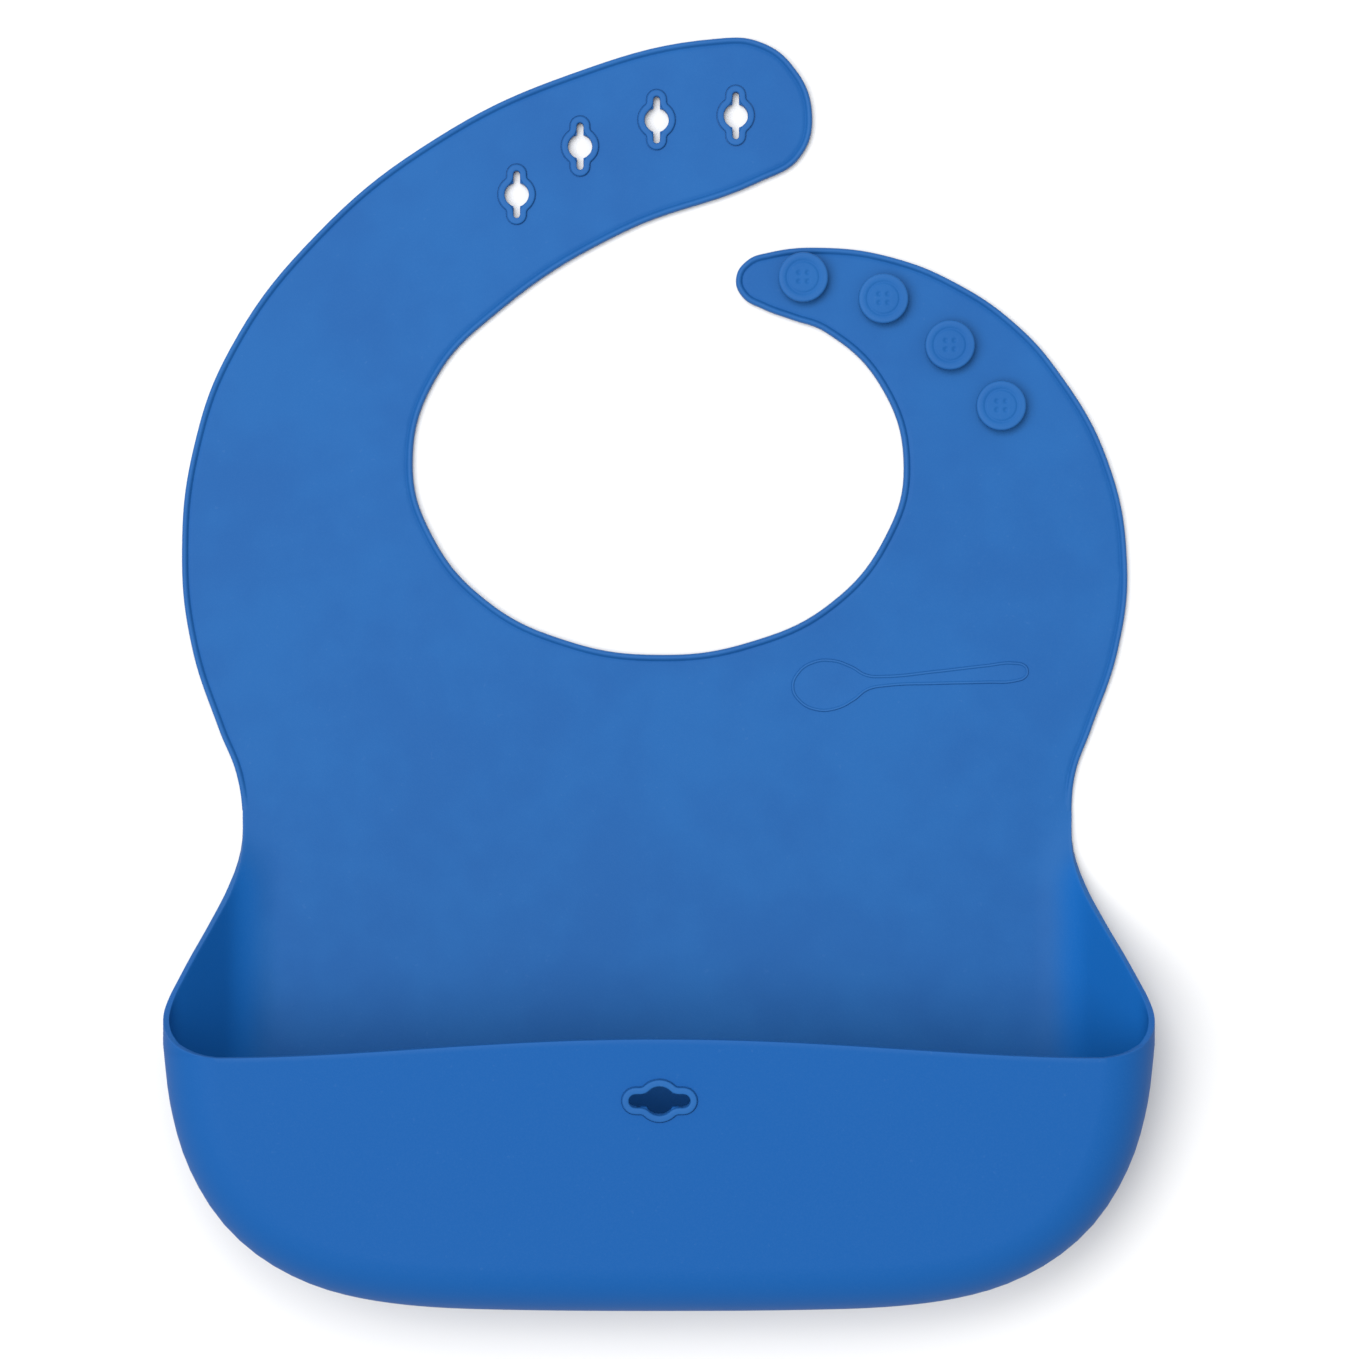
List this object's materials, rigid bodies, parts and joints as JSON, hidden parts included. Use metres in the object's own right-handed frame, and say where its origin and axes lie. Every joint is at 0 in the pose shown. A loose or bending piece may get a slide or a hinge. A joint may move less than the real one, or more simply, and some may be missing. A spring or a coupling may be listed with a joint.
{
  "type": "silicone bib",
  "caption": "Soft one-piece baby bib with a standing catch pocket, a slotted strap and a strap of round buttons that fasten behind the neck.",
  "frame": {"origin": "under the middle of the bib's bounding box, on the surface it lies on", "axes": "+Y from the pocket up to the straps, +Z out of the front face, +X across the bib towards the button strap"},
  "size_m": [0.2268, 0.2952, 0.0439],
  "materials": {
    "silicone": "matte"
  },
  "bodies": {
    "pocket": {"pocket_back": "silicone", "pocket_wall_left": "silicone", "pocket_wall_right": "silicone", "pocket_wall_end": "silicone", "pocket_web_left": "silicone", "pocket_web_right": "silicone", "pocket_web_end": "silicone", "chest_fold_strip": "silicone"},
    "pocket_front": {"pocket_front": "silicone", "pocket_keyhole_surround": "silicone"},
    "chest": {"chest_panel": "silicone", "chest_spoon": "silicone", "shoulder_bend_strip": "silicone", "button_bend_strip": "silicone"},
    "slotted_strap_shoulder": {"slotted_strap_shoulder": "silicone", "curl_bend_strip": "silicone"},
    "slotted_strap_end": {"slotted_strap_end": "silicone", "keyhole_surround_1": "silicone", "keyhole_surround_2": "silicone", "keyhole_surround_3": "silicone", "keyhole_surround_4": "silicone"},
    "button_strap": {"button_strap": "silicone", "button_1": "silicone", "button_2": "silicone", "button_3": "silicone", "button_4": "silicone"}
  },
  "joints": [
    {"name": "chest_fold", "type": "hinge", "parent": "pocket", "child": "chest", "pos_m": [0, -0.022, 0.0009], "axis": [1, 0, 0], "range_deg": [-90, 90], "stiffness_Nm_per_rad": 0.004, "deforming": ["chest_fold_strip"]},
    {"name": "shoulder_bend", "type": "hinge", "parent": "chest", "child": "slotted_strap_shoulder", "pos_m": [-0.084, 0.05, 0.0009], "axis": [1, 0, 0], "range_deg": [-60, 45], "stiffness_Nm_per_rad": 0.002, "deforming": ["shoulder_bend_strip"]},
    {"name": "strap_curl", "type": "hinge", "parent": "slotted_strap_shoulder", "child": "slotted_strap_end", "pos_m": [-0.0586, 0.0936, 0.0009], "axis": [0.7071, -0.7071, 0], "range_deg": [-60, 45], "stiffness_Nm_per_rad": 0.002, "deforming": ["curl_bend_strip"]},
    {"name": "button_strap_bend", "type": "hinge", "parent": "chest", "child": "button_strap", "pos_m": [0.084, 0.0415, 0.0009], "axis": [1, 0, 0], "range_deg": [-75, 75], "stiffness_Nm_per_rad": 0.002, "deforming": ["button_bend_strip"]},
    {"name": "pocket_flex", "type": "hinge", "parent": "pocket", "child": "pocket_front", "pos_m": [0, -0.142, 0.02], "axis": [1, 0, 0], "range_deg": [-22, 15], "stiffness_Nm_per_rad": 0.5, "deforming": ["pocket_web_left", "pocket_web_right", "pocket_web_end"]}
  ],
  "couplings": [
    {"joint": "strap_curl", "follows": "shoulder_bend", "ratio": 1}
  ]
}
